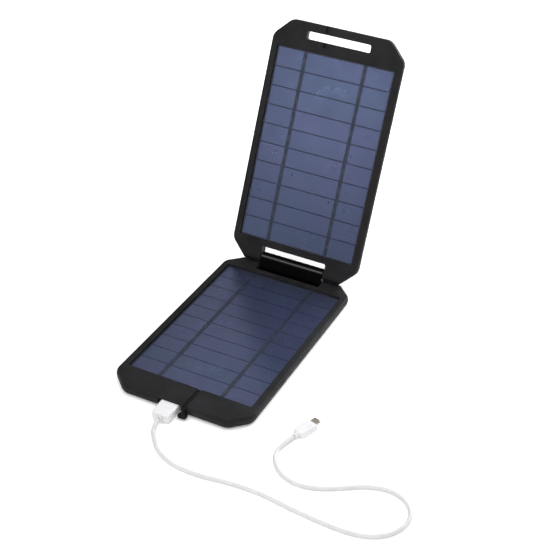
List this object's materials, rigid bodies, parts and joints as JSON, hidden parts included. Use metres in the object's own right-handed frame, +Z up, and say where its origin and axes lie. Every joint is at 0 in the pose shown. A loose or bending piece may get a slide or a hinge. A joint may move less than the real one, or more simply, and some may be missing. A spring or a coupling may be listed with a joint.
{
  "type": "folding solar phone charger",
  "caption": "Folding solar phone charger: hinged panels on a link hinge, strap slots, a USB port with a rubber bung and a white charging cable.",
  "frame": {"origin": "centre of the box round the charger without its cable, on the surface that the lower half rests on", "axes": "+X to the right seen from the port end, +Y from the port end towards the hinge, +Z up"},
  "size_m": [0.2476, 0.3281, 0.2002],
  "materials": {
    "frame_plastic": "fine moulded texture, satin",
    "cover_plastic": "moulded texture, matt",
    "panel_board": "black laminated board",
    "solar_cell": "blue silicon with fine contact fingers",
    "busbar_ribbon": "tinned ribbon, darkened under the cover",
    "clear_sheet": "clear laminated cover",
    "black_screw": "black oxide",
    "bright_steel": "bright nickel",
    "nylon_washer": "black nylon",
    "tongue_plastic": "black moulded",
    "circuit_green": "green solder mask",
    "ferrite": "moulded ferrite",
    "capacitor_can": "aluminium can",
    "black_rubber": "soft matt",
    "white_plastic": "smooth moulded white",
    "white_cord": "soft satin jacket"
  },
  "bodies": {
    "lower_half": {"lower_frame": "frame_plastic", "lower_back_cover": "cover_plastic", "lower_panel_board": "panel_board", "lower_cell_1": "solar_cell", "lower_cell_2": "solar_cell", "lower_cell_3": "solar_cell", "lower_cell_4": "solar_cell", "lower_cell_5": "solar_cell", "lower_cell_6": "solar_cell", "lower_cell_7": "solar_cell", "lower_cell_8": "solar_cell", "lower_cell_9": "solar_cell", "lower_cell_10": "solar_cell", "lower_busbar_left": "busbar_ribbon", "lower_busbar_right": "busbar_ribbon", "lower_cover_sheet": "clear_sheet", "lower_screw_1": "black_screw", "lower_screw_2": "black_screw", "lower_screw_3": "black_screw", "lower_screw_4": "black_screw", "lower_hinge_pin": "bright_steel", "lower_washer_left": "nylon_washer", "lower_washer_right": "nylon_washer", "usb_socket_shell": "bright_steel", "usb_socket_tongue": "tongue_plastic", "controller_board": "circuit_green", "power_inductor": "ferrite", "output_capacitor": "capacitor_can", "bung_tether": "black_rubber"},
    "hinge_link": {"hinge_link": "frame_plastic"},
    "upper_half": {"upper_frame": "frame_plastic", "upper_back_cover": "cover_plastic", "upper_panel_board": "panel_board", "upper_cell_1": "solar_cell", "upper_cell_2": "solar_cell", "upper_cell_3": "solar_cell", "upper_cell_4": "solar_cell", "upper_cell_5": "solar_cell", "upper_cell_6": "solar_cell", "upper_cell_7": "solar_cell", "upper_cell_8": "solar_cell", "upper_cell_9": "solar_cell", "upper_cell_10": "solar_cell", "upper_busbar_left": "busbar_ribbon", "upper_busbar_right": "busbar_ribbon", "upper_cover_sheet": "clear_sheet", "upper_screw_1": "black_screw", "upper_screw_2": "black_screw", "upper_screw_3": "black_screw", "upper_screw_4": "black_screw", "upper_hinge_pin": "bright_steel", "upper_washer_left": "nylon_washer", "upper_washer_right": "nylon_washer"},
    "port_bung": {"port_bung": "black_rubber"},
    "charging_cable": {"usb_plug_grip": "white_plastic", "usb_plug_shell": "bright_steel", "usb_plug_insulator": "tongue_plastic", "charging_cord": "white_cord", "device_plug_grip": "white_plastic", "device_plug_tip": "bright_steel"}
  },
  "joints": [
    {"name": "lower_pin_hinge", "type": "hinge", "parent": "lower_half", "child": "hinge_link", "pos_m": [0, 0.06385, 0.0047], "axis": [-1, 0, 0], "range_deg": [-20.6, 69.4]},
    {"name": "upper_pin_hinge", "type": "hinge", "parent": "hinge_link", "child": "upper_half", "pos_m": [0, 0.0673, 0.01387], "axis": [-1, 0, 0], "range_deg": [-90, 0]},
    {"name": "bung_swing", "type": "hinge", "parent": "lower_half", "child": "port_bung", "pos_m": [0.0089, -0.13365, 0.0086], "axis": [-1, 0, 0], "range_deg": [0, 75]},
    {"name": "usb_plug_pull", "type": "slide", "parent": "lower_half", "child": "charging_cable", "axis": [0, -1, 0], "range_m": [0, 0.016]}
  ]
}
